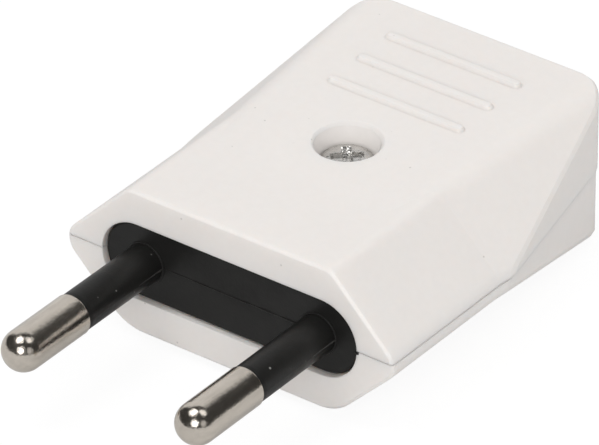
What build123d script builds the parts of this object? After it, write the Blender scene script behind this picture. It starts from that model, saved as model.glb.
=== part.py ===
from build123d import *
import math
import os

# Flat two-pin plug that is wired by hand, in millimetres.
# X is the width, the pins point along -Y, +Z is up.
# The origin is the centre of the engagement face, midway between the pins.

# Contact pins
pin_spacing = 19.0
pin_diameter = 4.0
pin_length = 19.0
pin_core_diameter = 2.8
sleeve_diameter = 3.8
sleeve_length = 9.3
sleeve_end_length = 0.6
sleeve_end_taper = 0.06

# Housing, outer form
nose_width = 37.5
nose_crown_width = 22.3
nose_height = 14.6
nose_length = 10.5
keel_drop = 0.13
widest_drop = 0.3
body_length = 39.05
rear_height = 16.2
rear_width = 26.85
taper_start = 14.8
flank_start = 16.0
flank_flare = 4.75
keel_flare = 3.0
nose_overlap = 1.5
grip_overlap = 4.0
nose_crown_radius = 1.4
grip_crown_radius = 3.2
nose_keel_radius = 4.6
grip_keel_radius = 5.0
mid_edge_radius = 2.0
rear_corner_radius = 4.0
front_edge = 0.25
flank_edge = 0.3
mould_step = 0.15
parting_gap = 0.08
parting_depth = 0.2

# Housing, inside
wall = 2.0
rear_wall = 2.5
inner_radius = 0.5
inlet_diameter = 6.6
inlet_mouth_edge = 0.8
web_thickness = 1.5

# Insert that carries the pins
opening_length = 28.0
opening_height = 7.84
carrier_clearance = 0.1
carrier_recess = 0.4
carrier_edge = 0.2
front_wall = 2.4
flange_margin = 0.8
flange_thickness = 2.0
block_width = 24.0
block_height = 6.4
block_length = 4.6
core_clearance = 0.02

# Terminals at the inner ends of the pins
terminal_width = 5.4
terminal_height = 5.6
terminal_length = 7.0
terminal_edge = 0.4
wire_hole_diameter = 2.5
wire_hole_depth = 5.6
terminal_screw_diameter = 2.5
terminal_screw_head_diameter = 3.8
terminal_screw_head_height = 1.3
terminal_screw_reach = 2.6

# Housing screw and its bosses
screw_y = 17.6
screw_well_diameter = 6.0
screw_well_lip = 0.3
screw_head_diameter = 5.5
screw_head_height = 2.1
screw_head_sink = 1.7
screw_shank_diameter = 3.0
screw_core_diameter = 2.5
screw_reach = 4.6
boss_wall = 1.6
screw_clearance = 0.15
pilot_clearance = 0.05
pilot_depth_spare = 0.4

# Raised finger ribs on top
rib_count = 3
rib_pitch = 4.4
rib_middle_y = 29.3
rib_length = 15.0
rib_width = 1.1
rib_height = 0.35
rib_root = 0.4
rib_draft = 32.0

# Slotted screws inside the housing
slot_width = 0.7
slot_depth = 0.7
thread_clearance = 0.05

# Cord clamp
clamp_y = 30.0
clamp_screw_spacing = 14.0
clamp_length = 19.0
clamp_width = 5.0
clamp_thickness = 2.2
clamp_seat_z = 1.4
clamp_arch_radius = 3.3
clamp_arch_height = 1.2
clamp_boss_diameter = 5.0
clamp_screw_diameter = 2.2
clamp_screw_head_diameter = 4.4
clamp_screw_head_height = 1.6
clamp_screw_reach = 4.5
cradle_thickness = 1.2
cradle_top_z = -2.6

# Head of the cross-headed screw, as shares of its size
head_rim = 0.45
head_flat = 0.62
cross_span = 0.58
cross_width = 0.17
cross_depth = 0.62
cross_taper = 12.0

os.makedirs("parts", exist_ok=True)

pin_x = pin_spacing / 2
pin_radius = pin_diameter / 2
nose_half_height = nose_height / 2
rear_half_height = rear_height / 2
flare_length = body_length - nose_length
flare_angle = math.degrees(math.atan2(rear_half_height - nose_half_height, flare_length))
flank_slope = (nose_width - rear_width) / 2 / (body_length - taper_start)
flange_front = front_wall
flange_back = front_wall + flange_thickness
pocket_back = flange_back + carrier_clearance
cavity_front = pocket_back + web_thickness
block_back = flange_back + block_length
pocket_length = opening_length + 2 * (flange_margin + carrier_clearance)
pocket_height = opening_height + 2 * (flange_margin + carrier_clearance)


def half_height_at(y):
    """Half the height of the flared body at a depth behind the nose."""
    return nose_half_height + (rear_half_height - nose_half_height) * (y - nose_length) / flare_length


def half_plan_at(y):
    """Half the width between the flat flanks at a depth, as seen from above."""
    return nose_width / 2 + flank_slope * (taper_start - y)


def long_edges(body):
    """Edges that run from front to rear, in groups from the underside to the top."""
    lengthwise = body.edges().filter_by(lambda edge: abs(edge.tangent_at(0).Y) > abs(edge.tangent_at(0).X))
    return lengthwise.filter_by(Axis.Z, reverse=True).group_by(Axis.Z)


def housing_form(inset, front, back, flank_inset, rounded):
    """Nose and flared grip between two depths, drawn in from the outer skin, with plain or round edges."""
    rise = nose_half_height + widest_drop
    run = (nose_width - nose_crown_width) / 2
    slant = math.hypot(rise, run)
    width = nose_width / 2 - inset * slant / rise
    crown = nose_half_height - inset
    keel = nose_half_height + keel_drop - inset
    crown_half = width - run * (crown + widest_drop) / rise
    keel_half = width - run * (keel - widest_drop) / rise
    overlap = grip_overlap / flare_length
    crown_dip = overlap * (rear_half_height - nose_half_height)
    keel_dip = overlap * (rear_half_height - nose_half_height - keel_drop)
    front_half = half_plan_at(front) - flank_inset
    back_half = half_plan_at(back) - flank_inset
    with BuildPart() as grip:
        with BuildSketch(Plane.YZ):
            Polygon(
                (nose_length - grip_overlap, crown - crown_dip), (body_length, rear_half_height - inset),
                (body_length, inset - rear_half_height),
                (nose_length - grip_overlap, keel_dip - keel), align=None,
            )
        extrude(amount=nose_width, both=True)
        for side in (-1, 1):
            for level, flare in ((-1, keel_flare), (1, flank_flare)):
                lean = slant * math.tan(math.radians(flare))
                outward = (side * rise, -lean, level * run)
                flank = Plane((side * width, flank_start, -widest_drop), z_dir=outward)
                split(bisect_by=flank, keep=Keep.BOTTOM)
        if rounded:
            fillet(long_edges(grip)[-1], grip_crown_radius - inset)
            fillet(long_edges(grip)[1], mid_edge_radius - inset)
            fillet(long_edges(grip)[0], grip_keel_radius - inset)
    with BuildPart() as form:
        with BuildSketch(Plane.XZ.offset(-front)) as section:
            Polygon(
                (width, -widest_drop), (crown_half, crown), (-crown_half, crown),
                (-width, -widest_drop), (-keel_half, -keel), (keel_half, -keel), align=None,
            )
            if rounded:
                fillet(section.vertices().group_by(Axis.Y)[1], mid_edge_radius - inset)
                fillet(section.vertices().group_by(Axis.Y)[0], nose_keel_radius - inset)
                fillet(section.vertices().group_by(Axis.Y)[-1], nose_crown_radius - inset)
        extrude(amount=front - flank_start - nose_overlap)
        if rounded:
            chamfer(form.faces().sort_by(Axis.Y)[0].edges(), front_edge)
        add(grip.part)
        with BuildSketch(Plane.XY.offset(-rear_height)) as plan:
            Polygon(
                (front_half, front), (back_half, back), (-back_half, back), (-front_half, front),
                align=None,
            )
            fillet(plan.vertices().group_by(Axis.Y)[-1], max(rear_corner_radius - inset, inner_radius))
        extrude(amount=2 * rear_height, mode=Mode.INTERSECT)
    return form.part


def housing_skin(flank_inset):
    """Outer skin with an eased rim, which runs from the rear edges along all folds of the flanks."""
    with BuildPart() as skin:
        add(housing_form(0, 0, body_length, flank_inset, True))
        rear_face = skin.faces().sort_by(Axis.Y)[-1]
        chamfer(rear_face.edges().filter_by(Axis.X), flank_edge)
    return skin.part


def hollow_half(flank_inset, kept_side):
    """Half shell with the seat for the insert at the front and half the cord inlet at the rear."""
    cavity_inset = flank_inset + wall * math.hypot(1, flank_slope)
    with BuildPart() as half:
        add(housing_skin(flank_inset))
        with BuildSketch(Plane.XZ.offset(-body_length)):
            Circle(inlet_diameter / 2)
        extrude(amount=rear_wall, mode=Mode.SUBTRACT)
        chamfer(half.edges().filter_by(GeomType.CIRCLE).sort_by(Axis.Y)[-1], inlet_mouth_edge)
        add(housing_form(wall, cavity_front, body_length - rear_wall, cavity_inset, False),
            mode=Mode.SUBTRACT)
        with BuildSketch(Plane.XZ):
            SlotOverall(opening_length, opening_height)
        extrude(amount=-pocket_back, mode=Mode.SUBTRACT)
        with BuildSketch(Plane.XZ.offset(-flange_front)):
            SlotOverall(pocket_length, pocket_height)
        extrude(amount=flange_front - pocket_back, mode=Mode.SUBTRACT)
        with BuildSketch(Plane.XZ.offset(-pocket_back)):
            Rectangle(block_width + 2 * carrier_clearance, block_height + 2 * carrier_clearance)
        extrude(amount=-web_thickness, mode=Mode.SUBTRACT)
        split(bisect_by=Plane.XY, keep=kept_side)
    return half.part


def slotted_screws(centres, seat_z, head_diameter, head_height, shank_diameter, reach):
    """Slotted screws along Z with plain shanks, with the undersides of their heads at a height."""
    with BuildPart() as screws:
        with BuildSketch(Plane.XY.offset(seat_z)):
            with Locations(*centres):
                Circle(head_diameter / 2)
        extrude(amount=head_height)
        with BuildSketch(Plane.XY.offset(seat_z)):
            with Locations(*centres):
                Circle(shank_diameter / 2)
        extrude(amount=-reach)
        with BuildSketch(Plane.XY.offset(seat_z + head_height)):
            with Locations(*centres):
                Rectangle(2 * head_diameter, slot_width)
        extrude(amount=-slot_depth, mode=Mode.SUBTRACT)
    return screws.part


def round_posts(diameter, centres, height):
    """Round posts that stand on the parting plane and end inside the walls of the housing."""
    with BuildPart() as posts:
        with BuildSketch(Plane.XY):
            with Locations(*centres):
                Circle(diameter / 2)
        extrude(amount=height)
        add(housing_form(wall / 2, wall, body_length - rear_wall / 2, mould_step + wall / 2, False),
            mode=Mode.INTERSECT)
    return posts.part


screw_centre = (0, screw_y)
screw_seat_z = half_height_at(screw_y) - screw_head_sink - screw_head_height
clamp_centres = ((-clamp_screw_spacing / 2, clamp_y), (clamp_screw_spacing / 2, clamp_y))

# Thin slab around the body at the parting plane, for the line between the two halves

with BuildPart() as parting_line:
    with BuildSketch(Plane.XY):
        with Locations((0, body_length / 2)):
            Rectangle(2 * nose_width, 2 * body_length)
    extrude(amount=parting_gap)
    add(housing_form(parting_depth, parting_depth, body_length - parting_depth, parting_depth, True),
        mode=Mode.SUBTRACT)

# Upper half: finger ribs, screw well and its boss

with BuildPart() as upper_housing:
    add(hollow_half(0, Keep.TOP))
    for index in range(rib_count):
        rib_y = rib_middle_y + (index - (rib_count - 1) / 2) * rib_pitch
        rib_plane = Plane((0, rib_y, half_height_at(rib_y))).rotated((flare_angle, 0, 0))
        with BuildSketch(rib_plane):
            SlotOverall(rib_length, rib_width)
        extrude(amount=rib_height, taper=rib_draft)
        with BuildSketch(rib_plane):
            SlotOverall(rib_length, rib_width)
        extrude(amount=-rib_root)
    add(round_posts(screw_well_diameter + 2 * boss_wall, [screw_centre], rear_height))
    with BuildSketch(Plane.XY.offset(screw_seat_z)):
        with Locations(screw_centre):
            Circle(screw_well_diameter / 2)
    extrude(amount=rear_height, mode=Mode.SUBTRACT)
    with Locations((0, screw_y, half_height_at(screw_y) - screw_well_lip)):
        Cone(screw_well_diameter / 2, screw_well_diameter / 2 + 2 * screw_well_lip, 2 * screw_well_lip,
             align=(Align.CENTER, Align.CENTER, Align.MIN), mode=Mode.SUBTRACT)
    with BuildSketch(Plane.XY):
        with Locations(screw_centre):
            Circle(screw_shank_diameter / 2 + screw_clearance)
    extrude(amount=screw_seat_z, mode=Mode.SUBTRACT)
    add(parting_line.part, mode=Mode.SUBTRACT)

upper_housing.part.label = "upper_housing"
export_step(upper_housing.part, "parts/upper_housing.step")

# Lower half: pilot boss, seats of the cord clamp, plain underside

with BuildPart() as lower_housing:
    add(hollow_half(mould_step, Keep.BOTTOM))
    add(round_posts(screw_shank_diameter + 2 * boss_wall, [screw_centre], -rear_height))
    add(round_posts(clamp_boss_diameter, clamp_centres, -rear_height))
    with BuildSketch(Plane.XY):
        with Locations(*clamp_centres):
            Circle(clamp_boss_diameter / 2)
    extrude(amount=clamp_seat_z)
    with BuildSketch(Plane.XY.offset(cradle_top_z)):
        with Locations((0, clamp_y)):
            Rectangle(clamp_screw_spacing, cradle_thickness)
    extrude(amount=wall / 2 - half_height_at(clamp_y) - cradle_top_z)
    with BuildSketch(Plane.XY):
        with Locations(screw_centre):
            Circle(screw_core_diameter / 2 + pilot_clearance)
    extrude(amount=-screw_reach - pilot_depth_spare, mode=Mode.SUBTRACT)
    with BuildSketch(Plane.XY.offset(clamp_seat_z)):
        with Locations(*clamp_centres):
            Circle(clamp_screw_diameter / 2 + thread_clearance)
    extrude(amount=-clamp_screw_reach - pilot_depth_spare, mode=Mode.SUBTRACT)

lower_housing.part.label = "lower_housing"
export_step(lower_housing.part, "parts/lower_housing.step")

# Insert with a flange behind the front wall, and the sleeves of both pins

with BuildPart() as pin_carrier:
    with BuildSketch(Plane.XZ.offset(-carrier_recess)):
        SlotOverall(opening_length - 2 * carrier_clearance, opening_height - 2 * carrier_clearance)
    extrude(amount=carrier_recess - flange_front)
    chamfer(pin_carrier.faces().sort_by(Axis.Y)[0].edges(), carrier_edge)
    with BuildSketch(Plane.XZ.offset(-flange_front)):
        SlotOverall(opening_length + 2 * flange_margin, opening_height + 2 * flange_margin)
    extrude(amount=-flange_thickness)
    with BuildSketch(Plane.XZ.offset(-flange_back)):
        Rectangle(block_width, block_height)
    extrude(amount=-block_length)
    with BuildSketch(Plane.XZ.offset(-carrier_recess)):
        with Locations((-pin_x, 0), (pin_x, 0)):
            Circle(sleeve_diameter / 2)
    extrude(amount=sleeve_length + carrier_recess - sleeve_end_length)
    sleeve_end_y = sleeve_end_length - sleeve_length
    with Locations((-pin_x, sleeve_end_y, 0), (pin_x, sleeve_end_y, 0)):
        Cone(sleeve_diameter / 2, sleeve_diameter / 2 - sleeve_end_taper, sleeve_end_length,
             rotation=(90, 0, 0), align=(Align.CENTER, Align.CENTER, Align.MIN))
    with BuildSketch(Plane.XZ.offset(sleeve_length)):
        with Locations((-pin_x, 0), (pin_x, 0)):
            Circle(pin_core_diameter / 2 + core_clearance)
    extrude(amount=-sleeve_length - block_back, mode=Mode.SUBTRACT)

pin_carrier.part.label = "pin_carrier"
export_step(pin_carrier.part, "parts/pin_carrier.step")

# Contact pins, each with its terminal as one piece, and the terminal screws

terminal_y = block_back + terminal_length / 2
terminal_top_z = terminal_height / 2

for side, x in (("left", -pin_x), ("right", pin_x)):
    with BuildPart() as contact_pin:
        with BuildSketch(Plane.XY):
            with BuildLine():
                Polyline(
                    (x, -pin_length), (x, block_back), (x + pin_core_diameter / 2, block_back),
                    (x + pin_core_diameter / 2, -sleeve_length), (x + pin_radius, -sleeve_length),
                    (x + pin_radius, pin_radius - pin_length),
                )
                RadiusArc((x + pin_radius, pin_radius - pin_length), (x, -pin_length), pin_radius)
            make_face()
        revolve(axis=Axis((x, 0, 0), (0, 1, 0)))
        with BuildSketch(Plane.XZ.offset(-block_back)):
            with Locations((x, 0)):
                Rectangle(terminal_width, terminal_height)
        extrude(amount=-terminal_length)
        block_edges = contact_pin.edges().filter_by(GeomType.LINE).filter_by(Axis.Y)
        chamfer(block_edges, terminal_edge)
        with BuildSketch(Plane.XZ.offset(-block_back - terminal_length)):
            with Locations((x, 0)):
                Circle(wire_hole_diameter / 2)
        extrude(amount=wire_hole_depth, mode=Mode.SUBTRACT)
        with BuildSketch(Plane.XY.offset(terminal_top_z)):
            with Locations((x, terminal_y)):
                Circle(terminal_screw_diameter / 2 + thread_clearance)
        extrude(amount=-terminal_top_z, mode=Mode.SUBTRACT)
    contact_pin.part.label = f"contact_pin_{side}"
    export_step(contact_pin.part, f"parts/contact_pin_{side}.step")

with BuildPart() as terminal_screws:
    add(slotted_screws([(-pin_x, terminal_y), (pin_x, terminal_y)], terminal_top_z,
                       terminal_screw_head_diameter, terminal_screw_head_height,
                       terminal_screw_diameter, terminal_screw_reach))

terminal_screws.part.label = "terminal_screws"
export_step(terminal_screws.part, "parts/terminal_screws.step")

# Screw that holds the halves together: bevelled head with a cross recess, shank and threaded core

screw_top_z = screw_seat_z + screw_head_height

with BuildPart() as housing_screw:
    with BuildSketch(Plane.YZ):
        Polygon(
            (screw_y, screw_top_z), (screw_y, -screw_reach),
            (screw_y + screw_core_diameter / 2, -screw_reach),
            (screw_y + screw_core_diameter / 2, 0), (screw_y + screw_shank_diameter / 2, 0),
            (screw_y + screw_shank_diameter / 2, screw_seat_z),
            (screw_y + screw_head_diameter / 2, screw_seat_z),
            (screw_y + screw_head_diameter / 2, screw_seat_z + screw_head_height * head_rim),
            (screw_y + screw_head_diameter / 2 * head_flat, screw_top_z), align=None,
        )
    revolve(axis=Axis((0, screw_y, 0), (0, 0, 1)))
    with BuildSketch(Plane.XY.offset(screw_top_z)):
        with Locations(screw_centre):
            Rectangle(screw_head_diameter * cross_span, screw_head_diameter * cross_width)
            Rectangle(screw_head_diameter * cross_width, screw_head_diameter * cross_span)
    extrude(amount=-screw_head_height * cross_depth, taper=cross_taper, mode=Mode.SUBTRACT)

housing_screw.part.label = "housing_screw"
export_step(housing_screw.part, "parts/housing_screw.step")

# Cord clamp: arched bar and its screws

with BuildPart() as cord_clamp:
    with BuildSketch(Plane.XY.offset(clamp_seat_z)):
        with Locations((0, clamp_y)):
            SlotOverall(clamp_length, clamp_width)
    extrude(amount=clamp_thickness)
    with BuildSketch(Plane.XZ.offset(-clamp_y)):
        with Locations((0, clamp_seat_z + clamp_arch_height - clamp_arch_radius)):
            Circle(clamp_arch_radius)
    extrude(amount=clamp_width, both=True, mode=Mode.SUBTRACT)
    with BuildSketch(Plane.XY.offset(clamp_seat_z)):
        with Locations(*clamp_centres):
            Circle(clamp_screw_diameter / 2 + screw_clearance)
    extrude(amount=clamp_thickness, mode=Mode.SUBTRACT)

cord_clamp.part.label = "cord_clamp"
export_step(cord_clamp.part, "parts/cord_clamp.step")

with BuildPart() as cord_clamp_screws:
    add(slotted_screws(clamp_centres, clamp_seat_z + clamp_thickness, clamp_screw_head_diameter,
                       clamp_screw_head_height, clamp_screw_diameter, clamp_thickness + clamp_screw_reach))

cord_clamp_screws.part.label = "cord_clamp_screws"
export_step(cord_clamp_screws.part, "parts/cord_clamp_screws.step")
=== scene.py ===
import math

import bmesh
import bpy
from mathutils import Matrix, Vector
from mathutils.noise import noise as wobble


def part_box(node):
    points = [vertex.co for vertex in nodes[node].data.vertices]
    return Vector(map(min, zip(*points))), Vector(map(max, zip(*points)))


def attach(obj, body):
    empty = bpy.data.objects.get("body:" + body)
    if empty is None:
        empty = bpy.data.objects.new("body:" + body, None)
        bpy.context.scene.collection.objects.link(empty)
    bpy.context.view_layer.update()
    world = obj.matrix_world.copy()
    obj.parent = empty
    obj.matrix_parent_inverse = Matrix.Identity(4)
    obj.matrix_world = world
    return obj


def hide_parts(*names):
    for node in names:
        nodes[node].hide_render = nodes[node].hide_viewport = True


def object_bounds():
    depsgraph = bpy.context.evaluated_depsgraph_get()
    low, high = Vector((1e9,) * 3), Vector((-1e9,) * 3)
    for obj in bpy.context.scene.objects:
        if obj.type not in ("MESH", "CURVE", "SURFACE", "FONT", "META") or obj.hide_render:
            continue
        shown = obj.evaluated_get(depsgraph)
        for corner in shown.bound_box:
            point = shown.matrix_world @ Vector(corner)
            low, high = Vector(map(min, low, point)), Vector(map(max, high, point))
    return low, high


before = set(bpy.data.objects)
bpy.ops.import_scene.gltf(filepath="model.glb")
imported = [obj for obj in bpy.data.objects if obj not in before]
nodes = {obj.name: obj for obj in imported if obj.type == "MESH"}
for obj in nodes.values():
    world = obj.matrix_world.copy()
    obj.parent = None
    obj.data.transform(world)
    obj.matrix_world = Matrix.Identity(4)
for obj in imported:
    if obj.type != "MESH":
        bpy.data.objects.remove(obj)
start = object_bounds()
MM = 0.001
X = Vector((1.0, 0.0, 0.0))
Y = Vector((0.0, 1.0, 0.0))
Z = Vector((0.0, 0.0, 1.0))


def box_of(node):
    """Lowest and highest corner of a solid, in millimetres."""
    return [[round(value / MM, 3) for value in corner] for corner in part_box(node)]


# Places on the solids that the fine pieces are fitted to, in millimetres

right_pin_low, right_pin_high = box_of("contact_pin_right")
PIN_X = (right_pin_low[0] + right_pin_high[0]) / 2
PIN_RADIUS = 2.0
SLEEVE_RADIUS = 1.9
SOLID_SLEEVE_END = box_of("pin_carrier")[0][1]
SLEEVE_TAPER_LENGTH = 0.6
INSERT_FACE = 0.4
OPENING_END = 14.0
SCREW_Y = 17.6
SCREW_TIP = box_of("housing_screw")[0][2]
HEAD_SEAT = 3.699
TOP_AT_SCREW = 7.499
TOP_SLOPE = 0.028


# Helpers for shader nodes

def new_material(name):
    material = bpy.data.materials.new(name)
    material.use_nodes = True
    return material, material.node_tree, material.node_tree.nodes["Principled BSDF"]


def set_inputs(node, **inputs):
    for key, value in inputs.items():
        node.inputs[key.replace("_", " ")].default_value = value


def add(tree, kind, **inputs):
    node = tree.nodes.new(kind)
    set_inputs(node, **inputs)
    return node


def object_coord(tree):
    return tree.nodes.new("ShaderNodeTexCoord").outputs["Object"]


def noise(tree, coord, scale, detail=2.0, roughness=0.5):
    """Noise with about scale features to the metre."""
    node = add(tree, "ShaderNodeTexNoise", Scale=scale, Detail=detail, Roughness=roughness)
    tree.links.new(coord, node.inputs["Vector"])
    return node.outputs["Fac"]


def grey(value):
    return (value, value, value)


def shade(colour, factor):
    return tuple(factor * channel for channel in colour)


def ramp(tree, source, stops):
    """Colour from a factor, by stops of (factor, colour)."""
    node = tree.nodes.new("ShaderNodeValToRGB")
    elements = node.color_ramp.elements
    while len(elements) < len(stops):
        elements.new(0.5)
    for element, (position, colour) in zip(elements, stops):
        element.position = position
        element.color = (*colour, 1.0)
    tree.links.new(source, node.inputs["Fac"])
    return node.outputs["Color"]


def two_tone(tree, source, low_at, low, high_at, high):
    return ramp(tree, source, [(low_at, low), (high_at, high)])


def span(tree, source, low, high, from_low=0.0, from_high=1.0):
    node = add(tree, "ShaderNodeMapRange", From_Min=from_low, From_Max=from_high, To_Min=low, To_Max=high)
    tree.links.new(source, node.inputs["Value"])
    return node.outputs["Result"]


def join(tree, operation, first, second):
    node = tree.nodes.new("ShaderNodeMath")
    node.operation = operation
    tree.links.new(first, node.inputs[0])
    tree.links.new(second, node.inputs[1])
    return node.outputs["Value"]


def times(tree, first, second):
    node = tree.nodes.new("ShaderNodeMix")
    node.data_type = "RGBA"
    node.blend_type = "MULTIPLY"
    node.inputs["Factor"].default_value = 1.0
    tree.links.new(first, node.inputs["A"])
    tree.links.new(second, node.inputs["B"])
    return node.outputs["Result"]


def bump(tree, shader, height, strength, distance, normal=None):
    node = add(tree, "ShaderNodeBump", Strength=strength, Distance=distance)
    tree.links.new(height, node.inputs["Height"])
    if normal is not None:
        tree.links.new(normal, node.inputs["Normal"])
    tree.links.new(node.outputs["Normal"], shader.inputs["Normal"])
    return node.outputs["Normal"]


SPECK_SOFTNESS = 1.6
SPECK_BLEND = 0.9


def specks(tree, coord, cells, radius, rarity, tone):
    """Factor that is one, apart from small dots of another tone in a few random cells."""
    cell = add(tree, "ShaderNodeTexVoronoi", Scale=cells)
    tree.links.new(coord, cell.inputs["Vector"])
    dot = span(tree, cell.outputs["Distance"], 1.0, 0.0, radius, SPECK_SOFTNESS * radius)
    chosen = two_tone(tree, cell.outputs["Color"], low_at=1.0 - rarity, low=grey(0.0),
                      high_at=1.0 - SPECK_BLEND * rarity, high=grey(1.0))
    both = join(tree, "MULTIPLY", dot, chosen)
    return two_tone(tree, both, low_at=0.0, low=grey(1.0), high_at=1.0, high=grey(tone))


# White plastic, with painted shade in its corners and creases

CREASE_SHADE_REACH = 0.45 * MM
CREASE_SHADE_TONE = 0.86
CREASE_SHADE_STARTS, CREASE_SHADE_PEAKS, CREASE_SHADE_ENDS = 0.95, 0.6, 0.2
SCATTER_WEIGHT = 0.4
SCATTER_COLOUR = (1.0, 0.85, 0.75)
SCATTER_DEPTH = 1.5 * MM
SOFT_EDGE = 0.2 * MM


# Painted shade: darker colour where ambient occlusion finds a concave corner or crease, as at the foot of
# the ribs.
def painted_crease_shade(tree):
    corner = add(tree, "ShaderNodeAmbientOcclusion", Distance=CREASE_SHADE_REACH)
    corner.only_local = True
    stops = [(CREASE_SHADE_ENDS, grey(1.0)), (CREASE_SHADE_PEAKS, grey(CREASE_SHADE_TONE)), (CREASE_SHADE_STARTS, grey(1.0))]
    return ramp(tree, corner.outputs["AO"], stops)


def housing_material(name, tint, solid=True):
    material, tree, shader = new_material(name)
    coord = object_coord(tree)
    cloud = two_tone(tree, noise(tree, coord, scale=70.0, detail=3.0),
                     low_at=0.3, low=shade(tint, 0.985), high_at=0.7, high=tint)
    fine = two_tone(tree, noise(tree, coord, scale=1300.0),
                    low_at=0.35, low=grey(0.988), high_at=0.65, high=grey(1.0))
    dirt = specks(tree, coord, cells=800.0, radius=0.06, rarity=0.19, tone=0.76)
    # The base colour carries the dust specks and the painted shade in the creases.
    base = times(tree, times(tree, cloud, fine), times(tree, dirt, painted_crease_shade(tree)))
    tree.links.new(base, shader.inputs["Base Color"])
    rough = span(tree, noise(tree, coord, scale=300.0, detail=3.0), low=0.34, high=0.42)
    tree.links.new(rough, shader.inputs["Roughness"])
    set_inputs(shader, IOR=1.49)
    soft_edge = None
    if solid:
        set_inputs(shader, Subsurface_Weight=SCATTER_WEIGHT, Subsurface_Radius=SCATTER_COLOUR,
                   Subsurface_Scale=SCATTER_DEPTH)
        soft_edge = add(tree, "ShaderNodeBevel", Radius=SOFT_EDGE).outputs["Normal"]
    waves = bump(tree, shader, noise(tree, coord, scale=380.0), strength=0.05, distance=0.4 * MM,
                 normal=soft_edge)
    bump(tree, shader, noise(tree, coord, scale=4200.0), strength=0.05, distance=0.1 * MM, normal=waves)
    return material


# Black plastic, with dust

INSERT_TINT = (0.015, 0.0146, 0.0138)
WORN_TINT = (0.062, 0.06, 0.057)


def insert_material(name, tint=INSERT_TINT):
    material, tree, shader = new_material(name)
    coord = object_coord(tree)
    cloud = two_tone(tree, noise(tree, coord, scale=260.0, detail=3.0),
                     low_at=0.35, low=shade(tint, 0.72), high_at=0.65, high=tint)
    dust = specks(tree, coord, cells=860.0, radius=0.07, rarity=0.36, tone=16.0)
    tree.links.new(times(tree, cloud, dust), shader.inputs["Base Color"])
    rough = span(tree, noise(tree, coord, scale=800.0, detail=4.0), low=0.3, high=0.44)
    tree.links.new(rough, shader.inputs["Roughness"])
    set_inputs(shader, IOR=1.5, Specular_IOR_Level=0.235)
    waves = bump(tree, shader, noise(tree, coord, scale=900.0), strength=0.08, distance=0.3 * MM)
    bump(tree, shader, noise(tree, coord, scale=5200.0), strength=0.12, distance=0.1 * MM, normal=waves)
    return material


# Plated metal, with drawn lines, dents and a fine grain

def metal_material(name, tint, roughness, stretch, dents, dent_scale, dent_depth):
    material, tree, shader = new_material(name)
    coord = object_coord(tree)
    mapping = add(tree, "ShaderNodeMapping", Scale=stretch)
    tree.links.new(coord, mapping.inputs["Vector"])
    lines = noise(tree, mapping.outputs["Vector"], scale=1.0, detail=4.0, roughness=0.6)
    cloud = two_tone(tree, noise(tree, coord, scale=500.0, detail=3.0),
                     low_at=0.3, low=shade(tint, 0.93), high_at=0.7, high=tint)
    marks = two_tone(tree, lines, low_at=0.3, low=grey(0.86), high_at=0.6, high=grey(1.0))
    tree.links.new(times(tree, cloud, marks), shader.inputs["Base Color"])
    set_inputs(shader, Metallic=1.0)
    tree.links.new(span(tree, lines, *roughness), shader.inputs["Roughness"])
    drawn = bump(tree, shader, lines, strength=0.12, distance=0.05 * MM)
    pits = bump(tree, shader, noise(tree, coord, dent_scale), dents, dent_depth, drawn)
    bump(tree, shader, noise(tree, coord, scale=5200.0, detail=3.0), strength=0.3, distance=0.04 * MM,
         normal=pits)
    return material


white = housing_material("housing_white", (0.85, 0.812, 0.782))
# Lining of the screw well: the same plastic with a lighter tint, painted light that stands in for light
# inside the well.
well_white_painted_light = housing_material("well_white_painted_light", (0.87, 0.832, 0.802), solid=False)
clamp_white = housing_material("clamp_white", (0.80, 0.78, 0.75))
black = insert_material("insert_black")
flash_black = insert_material("flash_black")
worn_flash = insert_material("worn_flash", WORN_TINT)
plated = metal_material("pin_plating", (0.75, 0.688, 0.61), roughness=(0.11, 0.27),
                        stretch=(1500.0, 240.0, 1500.0), dents=0.09, dent_scale=2600.0, dent_depth=0.1 * MM)
zinc = metal_material("screw_zinc", (0.68, 0.67, 0.65), roughness=(0.15, 0.28),
                      stretch=(2500.0, 2500.0, 900.0), dents=0.85, dent_scale=1400.0, dent_depth=0.25 * MM)

for name, material in {
    "upper_housing": white, "lower_housing": white, "pin_carrier": black,
    "contact_pin_left": plated, "contact_pin_right": plated, "terminal_screws": zinc,
    "housing_screw": zinc, "cord_clamp": clamp_white, "cord_clamp_screws": zinc,
}.items():
    nodes[name].data.materials.clear()
    nodes[name].data.materials.append(material)


# Helpers for the fine pieces, which are drawn in millimetres

BEAD_SIDES = 10
RIPPLE_LAYER = 0.37


def link(name, mesh):
    obj = bpy.data.objects.new(name, mesh)
    bpy.context.collection.objects.link(obj)
    return obj


def piece(name, points, faces, material, slot):
    mesh = bpy.data.meshes.new(name)
    mesh.from_pydata([Vector(point) * MM for point in points], [], faces)
    mesh.materials.append(material)
    mesh.update()
    return link(name, mesh)


def finish_piece(obj):
    for face in obj.data.polygons:
        face.use_smooth = True
    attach(obj, "root")


def bead(name, path, material, slot, closed=False):
    """Sweeps an ellipse along path: (centre, outward, half height, sideways, half width) at each stop."""
    points, faces = [], []
    for centre, outward, height, sideways, width in path:
        for k in range(BEAD_SIDES):
            angle = math.tau * k / BEAD_SIDES
            rise = height * math.cos(angle)
            spread = width * math.sin(angle)
            points.append(centre + outward * rise + sideways * spread)
    stops = len(path)
    for i in range(stops if closed else stops - 1):
        this, after = i * BEAD_SIDES, (i + 1) % stops * BEAD_SIDES
        for k in range(BEAD_SIDES):
            turn = (k + 1) % BEAD_SIDES
            faces.append((this + k, this + turn, after + turn, after + k))
    if not closed:
        faces.append(tuple(range(BEAD_SIDES))[::-1])
        faces.append(tuple(range((stops - 1) * BEAD_SIDES, stops * BEAD_SIDES)))
    finish_piece(piece(name, points, faces, material, slot))


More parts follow.
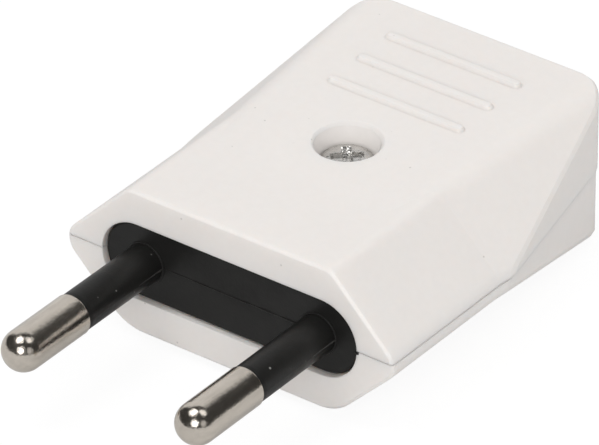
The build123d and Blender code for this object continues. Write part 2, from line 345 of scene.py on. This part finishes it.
def ripple(value, rate, seed, shift=0.0):
    """Smooth random value from 0 to 1."""
    return min(1.0, max(0.0, 0.5 + wobble(Vector((rate * value + shift, seed, RIPPLE_LAYER)))))


# Insert and contact pins, with sleeves that reach as far as in the photograph

SLEEVE_END = -10.15
END_TOLERANCE = 0.05
NO_AREA = 1e-8


def drop_flat_facets(mesh):
    """Takes out facets of no area, so that the mesh is closed."""
    cells = bmesh.new()
    cells.from_mesh(mesh)
    flat = [face for face in cells.faces if face.calc_area() < NO_AREA * MM * MM]
    bmesh.ops.delete(cells, geom=flat, context="FACES")
    cells.to_mesh(mesh)
    cells.free()


def lengthen_sleeve(name, node):
    """Copy that stands for a solid, with the end of the sleeves and the start of the metal moved out."""
    mesh = nodes[node].data.copy()
    mesh.transform(nodes[node].matrix_world)
    drop_flat_facets(mesh)
    for vertex in mesh.vertices:
        inwards = vertex.co.y / MM - SOLID_SLEEVE_END
        if -END_TOLERANCE < inwards < SLEEVE_TAPER_LENGTH + END_TOLERANCE:
            vertex.co.y += (SLEEVE_END - SOLID_SLEEVE_END) * MM
    obj = link(name, mesh)
    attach(obj, "root")
    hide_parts(node)


lengthen_sleeve("sleeved_insert", "pin_carrier")
lengthen_sleeve("plated_pin_left", "contact_pin_left")
lengthen_sleeve("plated_pin_right", "contact_pin_right")


# Mould line across the insert, from sleeve to sleeve

LINE_STOPS = 90
LINE_END_GAP = 0.1
LINE_SINK = 0.01
LINE_Z, LINE_WANDER = 0.1, 0.05
LINE_RISE, LINE_EXTRA_RISE = 0.02, 0.09
LINE_WIDTH, LINE_EXTRA_WIDTH = 0.05, 0.04


def mould_line():
    reach = PIN_X - SLEEVE_RADIUS - LINE_END_GAP
    path = []
    for k in range(LINE_STOPS):
        x = reach * (2.0 * k / (LINE_STOPS - 1) - 1.0)
        strength = ripple(x, rate=1.1, seed=2.0)
        z = LINE_Z + LINE_WANDER * ripple(x, rate=0.7, seed=9.0)
        path.append((Vector((x, INSERT_FACE - LINE_SINK, z)), -Y, LINE_RISE + LINE_EXTRA_RISE * strength,
                     -Z, LINE_WIDTH + LINE_EXTRA_WIDTH * strength))
    bead("insert_mould_line", path, flash_black, "insert")


mould_line()


# Root of each sleeve, rounded rim of its metal, and flash along both sides

RING_STOPS = 72
ROOT_SINK, ROOT_OFFSET = 0.02, 0.06
ROOT_HEIGHT = 0.11
ROOT_WIDTH, ROOT_EXTRA_WIDTH = 0.09, 0.03
RIM_INSET, RIM_HEIGHT, RIM_WIDTH = 0.05, 0.055, 0.07
FLASH_STOPS = 30
FLASH_LENGTH = 3.4
FLASH_Z, FLASH_SINK = 0.05, 0.01
FLASH_STEADY, FLASH_VARIES = 0.35, 0.65
FLASH_RISE, FLASH_EXTRA_RISE = 0.015, 0.11
FLASH_WIDTH, FLASH_EXTRA_WIDTH = 0.04, 0.05


def ring_path(centre, radius, height, width, extra_width=0.0):
    """Path round a pin, with a width that varies by up to extra_width."""
    path = []
    for k in range(RING_STOPS):
        angle = math.tau * k / RING_STOPS
        outward = X * math.cos(angle) + Z * math.sin(angle)
        path.append((centre + outward * radius, outward, height,
                     Y, width + extra_width * ripple(k, rate=0.2, seed=4.0)))
    return path


def sleeve_root(name, x):
    centre = Vector((x, INSERT_FACE - ROOT_SINK, 0.0))
    path = ring_path(centre, SLEEVE_RADIUS + ROOT_OFFSET, ROOT_HEIGHT, ROOT_WIDTH, ROOT_EXTRA_WIDTH)
    bead(name, path, black, "insert", closed=True)


def pin_rim(name, x):
    path = ring_path(Vector((x, SLEEVE_END, 0.0)), PIN_RADIUS - RIM_INSET, RIM_HEIGHT, RIM_WIDTH)
    bead(name, path, plated, "contact", closed=True)


def sleeve_flash(name, x, way):
    path = []
    for k in range(FLASH_STOPS):
        share = k / (FLASH_STOPS - 1)
        y = INSERT_FACE - FLASH_LENGTH * share
        fade = (1.0 - share) * (FLASH_STEADY + FLASH_VARIES * ripple(y, rate=2.2, seed=6.0, shift=x))
        centre = Vector((x, y, FLASH_Z)) + way * (SLEEVE_RADIUS - FLASH_SINK)
        path.append((centre, way, FLASH_RISE + FLASH_EXTRA_RISE * fade,
                     way.cross(Y), FLASH_WIDTH + FLASH_EXTRA_WIDTH * fade))
    bead(name, path, worn_flash, "insert")


for side, x in (("left", -PIN_X), ("right", PIN_X)):
    sleeve_root("sleeve_root_" + side, x)
    pin_rim("pin_rim_" + side, x)
    for edge, way in (("outer", X), ("inner", -X)):
        sleeve_flash("sleeve_flash_" + side + "_" + edge, x, way)


# Moulding nub at the right end of the insert

NUB_STOPS = 12
NUB_OFFSET, NUB_BACK, NUB_Z = 0.02, 0.3, -0.1
NUB_LENGTH, NUB_HEIGHT, NUB_WIDTH = 0.42, 0.26, 0.2
NUB_BLUNTNESS = 0.02


def insert_nub():
    path = []
    for k in range(NUB_STOPS):
        share = k / (NUB_STOPS - 1)
        swell = math.sqrt(max(NUB_BLUNTNESS, 1.0 - (2.0 * share - 1.0) ** 2))
        centre = Vector((OPENING_END + NUB_OFFSET, NUB_BACK - NUB_LENGTH * share, NUB_Z))
        path.append((centre, X, NUB_HEIGHT * swell, Z, NUB_WIDTH * swell))
    bead("insert_nub", path, black, "insert")


insert_nub()


# Housing screw with a domed head, a cross recess and a thread

SCREW_SIDES = 72
HEAD_TOP = 6.1
HEAD_RADIUS = 2.5
HEAD_EDGE = 0.55
DOME_ROWS = 16
DOME_FLATNESS, DOME_ROUNDNESS = 3.2, 1.9
SHANK_RADIUS = 1.35
THREAD_TOP = 2.6
THREAD_RUN_IN = 0.1
THREAD_PITCH = 1.1
THREAD_CORE = 1.02
THREAD_DEPTH = 0.22
THREAD_ROWS = 110
POINT_LENGTH, POINT_RADIUS = 0.4, 0.5
CROSS_TURN = math.radians(41.0)
CROSS_REACH, CROSS_HALF_WIDTH = 1.62, 0.5
CROSS_FLOOR_REACH, CROSS_FLOOR_HALF_WIDTH = 1.2, 0.3
CROSS_DEPTH = 0.6
CUTTER_OVERLAP = 0.1
SHARP_METAL = math.radians(35.0)


def plain(radius):
    return lambda angle: radius


def threaded(z):
    def radius(angle):
        turn = (z / THREAD_PITCH + angle / math.tau) % 1.0
        return THREAD_CORE + THREAD_DEPTH * (1.0 - abs(2.0 * turn - 1.0))
    return radius


def turned(rows, looped=False):
    """Points and faces of a body turned about the screw's axis, from rows of (z, radius at an angle)."""
    points, faces = [], []
    for z, radius in rows:
        for k in range(SCREW_SIDES):
            angle = math.tau * k / SCREW_SIDES
            points.append((radius(angle) * math.cos(angle), SCREW_Y + radius(angle) * math.sin(angle), z))
    for i in range(len(rows) if looped else len(rows) - 1):
        this, below = i * SCREW_SIDES, (i + 1) % len(rows) * SCREW_SIDES
        for k in range(SCREW_SIDES):
            turn = (k + 1) % SCREW_SIDES
            faces.append((this + k, below + k, below + turn, this + turn))
    if not looped:
        faces.append(tuple(range(SCREW_SIDES)))
        faces.append(tuple(range((len(rows) - 1) * SCREW_SIDES, len(rows) * SCREW_SIDES))[::-1])
    return points, faces


def screw_rows():
    rows = []
    for k in range(1, DOME_ROWS + 1):
        share = k / DOME_ROWS
        bulge = 1.0 - (1.0 - share ** DOME_FLATNESS) ** (1.0 / DOME_ROUNDNESS)
        rows.append((HEAD_TOP - HEAD_EDGE * bulge, plain(HEAD_RADIUS * share)))
    rows.append((HEAD_SEAT, plain(HEAD_RADIUS)))
    rows.append((HEAD_SEAT, plain(SHANK_RADIUS)))
    rows.append((THREAD_TOP, plain(SHANK_RADIUS)))
    thread_start = THREAD_TOP - THREAD_RUN_IN
    thread_end = SCREW_TIP + POINT_LENGTH
    for k in range(THREAD_ROWS):
        z = thread_start + (thread_end - thread_start) * k / (THREAD_ROWS - 1)
        rows.append((z, threaded(z)))
    rows.append((SCREW_TIP, plain(POINT_RADIUS)))
    return rows


def cross_outline(reach, half, z):
    corner = [(reach, -half), (reach, half), (half, half)]
    points = []
    for quarter in range(4):
        turn = CROSS_TURN + quarter * math.pi / 2
        for x, y in corner:
            points.append(Vector((x * math.cos(turn) - y * math.sin(turn),
                                  SCREW_Y + x * math.sin(turn) + y * math.cos(turn), z)))
    return points


def cross_cutter():
    top = cross_outline(CROSS_REACH, CROSS_HALF_WIDTH, HEAD_TOP + CUTTER_OVERLAP)
    bottom = cross_outline(CROSS_FLOOR_REACH, CROSS_FLOOR_HALF_WIDTH, HEAD_TOP - CROSS_DEPTH)
    count = len(top)
    faces = []
    for k in range(count):
        turn = (k + 1) % count
        faces.append((k, k + count, turn + count, turn))
    faces.append(tuple(range(count)))
    faces.append(tuple(range(count, 2 * count))[::-1])
    return piece("cross_cutter", top + bottom, faces, zinc, "screw")


def cut_away(obj, cutter):
    cut = obj.modifiers.new("cross", "BOOLEAN")
    cut.operation = "DIFFERENCE"
    cut.object = cutter
    result = obj.evaluated_get(bpy.context.evaluated_depsgraph_get())
    cut_mesh = bpy.data.meshes.new_from_object(result)
    obj.modifiers.clear()
    obj.data = cut_mesh
    bpy.data.objects.remove(cutter)


screw = piece("cross_screw", *turned(screw_rows()), zinc, "screw")
cut_away(screw, cross_cutter())
finish_piece(screw)
screw.data.set_sharp_from_angle(angle=SHARP_METAL)
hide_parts("housing_screw")


# Soft mouth of the screw well, which narrows down to the head

LIP_DEPTH, LIP_RADIUS = 0.28, 2.995
THROAT_DEPTH, THROAT_RADIUS = 1.7, 2.52
THROAT_STEPS = 10
THROAT_CURVE = 1.3
MOUTH_DEPTH = 2.6
SHARP_MOUTH = math.radians(50.0)


def mouth_rows():
    profile = [(LIP_RADIUS, MOUTH_DEPTH), (THROAT_RADIUS, MOUTH_DEPTH)]
    for k in range(THROAT_STEPS + 1):
        share = k / THROAT_STEPS
        profile.append((THROAT_RADIUS + (LIP_RADIUS - THROAT_RADIUS) * share ** THROAT_CURVE,
                        THROAT_DEPTH + (LIP_DEPTH - THROAT_DEPTH) * share))
    return [(TOP_AT_SCREW - depth, plain(radius)) for radius, depth in profile]


points, faces = turned(mouth_rows(), looped=True)
sheared = [(x, y, z + TOP_SLOPE * (y - SCREW_Y)) for x, y, z in points]
# The lining's lighter white is painted light for the inside of the well.
mouth = piece("screw_well_mouth", sheared, faces, well_white_painted_light, "housing")
finish_piece(mouth)
mouth.data.set_sharp_from_angle(angle=SHARP_MOUTH)


# Camera, from the angle of the photograph

AZIMUTH = math.radians(36.658)
ELEVATION = math.radians(32.751)
DISTANCE = 748.35 * MM
SENSOR_WIDTH, LENS = 36.0, 508.2
CLIP_START, CLIP_END = 0.05, 20.0

target = Vector((0.362, 10.0, 3.028)) * MM
back = Vector((math.cos(ELEVATION) * math.sin(AZIMUTH), -math.cos(ELEVATION) * math.cos(AZIMUTH),
               math.sin(ELEVATION)))
right = Vector((math.cos(AZIMUTH), math.sin(AZIMUTH), 0.0))
up = back.cross(right)


def place_camera():
    data = bpy.data.cameras.new("camera")
    data.sensor_width = SENSOR_WIDTH
    data.lens = LENS
    data.clip_start = CLIP_START
    data.clip_end = CLIP_END
    camera = bpy.data.objects.new("camera", data)
    bpy.context.collection.objects.link(camera)
    camera.location = target + back * DISTANCE
    camera.rotation_euler = back.to_track_quat("Z", "Y").to_euler()
    bpy.context.scene.camera = camera


place_camera()


# Helpers for the floor and the room, which differ for light and for what is seen or mirrored

def seen_directly(tree):
    """One for rays from the camera, off gloss and through clear pieces, and zero for light."""
    path = tree.nodes.new("ShaderNodeLightPath")
    total = path.outputs["Is Camera Ray"]
    for kind in ("Is Glossy Ray", "Is Transmission Ray"):
        total = join(tree, "MAXIMUM", total, path.outputs[kind])
    return total


def pick_by_ray(tree, plain_shader, shown_shader, surface):
    pick = tree.nodes.new("ShaderNodeMixShader")
    tree.links.new(seen_directly(tree), pick.inputs["Fac"])
    tree.links.new(plain_shader, pick.inputs[1])
    tree.links.new(shown_shader, pick.inputs[2])
    tree.links.new(pick.outputs["Shader"], surface)


def paper_material(name, tone):
    material, tree, shader = new_material(name)
    paper = two_tone(tree, noise(tree, object_coord(tree), scale=40.0),
                     low_at=0.3, low=grey(0.976 * tone), high_at=0.7, high=grey(tone))
    tree.links.new(paper, shader.inputs["Base Color"])
    set_inputs(shader, Roughness=0.9, Specular_IOR_Level=0.1)
    return material, tree, shader


def glowing_material(name, colour, strength):
    material, _, shader = new_material(name)
    set_inputs(shader, Base_Color=(0.0, 0.0, 0.0, 1.0), Specular_IOR_Level=0.0,
               Emission_Color=(*colour, 1.0), Emission_Strength=strength)
    return material


def only_in_reflections(obj):
    obj.visible_camera = False
    obj.visible_diffuse = False
    obj.visible_transmission = False
    obj.visible_shadow = False


# Floor and room: white where the camera, a reflection or a clear piece shows them, plain light to all else

WHITE = (1.0, 1.0, 1.0, 1.0)
FLOOR_SIZE = 6.0
FLOOR_GAP = 0.02 * MM
FLOOR_TONE = 0.84
FLOOR_GLOW = 0.905
SHADOW_TONE = 0.12
FILL_STRENGTH = 0.575
BACKDROP_STRENGTH = 1.0

lowest = start[0][2]


def floor_material():
    material, tree, shader = paper_material("floor_white", FLOOR_TONE)
    faint = add(tree, "ShaderNodeBsdfDiffuse", Color=(*grey(SHADOW_TONE), 1.0))
    glow = add(tree, "ShaderNodeEmission", Color=WHITE, Strength=FLOOR_GLOW)
    shown = tree.nodes.new("ShaderNodeAddShader")
    tree.links.new(faint.outputs["BSDF"], shown.inputs[0])
    tree.links.new(glow.outputs["Emission"], shown.inputs[1])
    surface = tree.nodes["Material Output"].inputs["Surface"]
    pick_by_ray(tree, shader.outputs["BSDF"], shown.outputs["Shader"], surface)
    return material


def light_room():
    world = bpy.data.worlds.new("studio")
    bpy.context.scene.world = world
    world.use_nodes = True
    tree = world.node_tree
    fill = tree.nodes["Background"]
    set_inputs(fill, Color=WHITE, Strength=FILL_STRENGTH)
    backdrop = add(tree, "ShaderNodeBackground", Color=WHITE, Strength=BACKDROP_STRENGTH)
    surface = tree.nodes["World Output"].inputs["Surface"]
    pick_by_ray(tree, fill.outputs["Background"], backdrop.outputs["Background"], surface)


bpy.ops.mesh.primitive_plane_add(size=FLOOR_SIZE, location=(0.0, 0.0, lowest - FLOOR_GAP))
floor = bpy.context.object
floor.name = "floor"
floor.data.materials.append(floor_material())
light_room()


# Table top and dark tent round the plug, which the pins mirror

ROOM_RADIUS = 2.0
TABLE_GAP = 0.01 * MM
TABLE_TONE = 0.66
TABLE_SIDES = 96
TENT_FOOT = math.radians(3.0)
TENT_ROWS, TENT_SIDES = 24, 72
TENT_COLOUR, TENT_GLOW = (1.0, 0.98, 0.95), 0.045


def table_top():
    bpy.ops.mesh.primitive_circle_add(vertices=TABLE_SIDES, radius=ROOM_RADIUS, fill_type="NGON",
                                      location=(0.0, 0.0, lowest - TABLE_GAP))
    table = bpy.context.object
    table.name = "table_top"
    table.data.materials.append(paper_material("table_paper", TABLE_TONE)[0])
    only_in_reflections(table)


def dark_tent():
    points, faces = [], []
    for i in range(TENT_ROWS + 1):
        height = TENT_FOOT + (math.pi / 2 - TENT_FOOT) * i / TENT_ROWS
        for k in range(TENT_SIDES):
            angle = math.tau * k / TENT_SIDES
            points.append(ROOM_RADIUS * Vector((math.cos(height) * math.cos(angle),
                                               math.cos(height) * math.sin(angle), math.sin(height))))
    for i in range(TENT_ROWS):
        this, above = i * TENT_SIDES, (i + 1) * TENT_SIDES
        for k in range(TENT_SIDES):
            turn = (k + 1) % TENT_SIDES
            faces.append((this + k, above + k, above + turn, this + turn))
    mesh = bpy.data.meshes.new("dark_tent")
    mesh.from_pydata(points, [], faces)
    mesh.materials.append(glowing_material("dark_tent", TENT_COLOUR, TENT_GLOW))
    tent = bpy.data.objects.new("dark_tent", mesh)
    bpy.context.collection.objects.link(tent)
    only_in_reflections(tent)


table_top()
dark_tent()


# Four soft lamps, placed by direction in the view: right, up, towards the camera

LAMP_DISTANCE = 0.9


def soft_lamp(name, direction, size, power):
    towards = (right * direction[0] + up * direction[1] + back * direction[2]).normalized()
    data = bpy.data.lights.new(name, "AREA")
    data.shape = "DISK"
    data.size = size
    data.energy = power
    lamp = bpy.data.objects.new(name, data)
    bpy.context.collection.objects.link(lamp)
    lamp.location = target + towards * LAMP_DISTANCE
    lamp.rotation_euler = towards.to_track_quat("Z", "Y").to_euler()
    lamp.visible_camera = False


soft_lamp("upper_left_lamp", (-0.298, 0.767, 0.568), size=0.52, power=2.04)
soft_lamp("upper_right_lamp", (0.415, 0.745, 0.522), size=0.48, power=0.72)
soft_lamp("lower_left_lamp", (-0.213, -0.066, 0.975), size=0.48, power=2.04)
soft_lamp("lower_right_lamp", (0.516, -0.092, 0.851), size=0.46, power=0.3)


# Pale screen behind the plug on the left, which only reflections show

SCREEN_DISTANCE = 1.0
SCREEN_WIDTH, SCREEN_HEIGHT = 1.8, 1.45
SCREEN_TOWARDS = Vector((-0.55, 0.835, 0.0))
SCREEN_ACROSS = Vector((-0.835, -0.55, 0.0))
SCREEN_COLOUR, SCREEN_GLOW = (1.0, 1.0, 1.0), 0.73


def pale_screen():
    middle = SCREEN_TOWARDS * SCREEN_DISTANCE + Z * (SCREEN_HEIGHT / 2)
    bpy.ops.mesh.primitive_plane_add(size=1.0, location=target + middle)
    screen = bpy.context.object
    screen.name = "pale_screen"
    screen.rotation_euler = Matrix((SCREEN_ACROSS, Z, SCREEN_TOWARDS)).transposed().to_euler()
    screen.scale = (SCREEN_WIDTH, SCREEN_HEIGHT, 1.0)
    screen.data.materials.append(glowing_material("pale_screen", SCREEN_COLOUR, SCREEN_GLOW))
    only_in_reflections(screen)


pale_screen()

bpy.context.scene.view_settings.view_transform = "Standard"
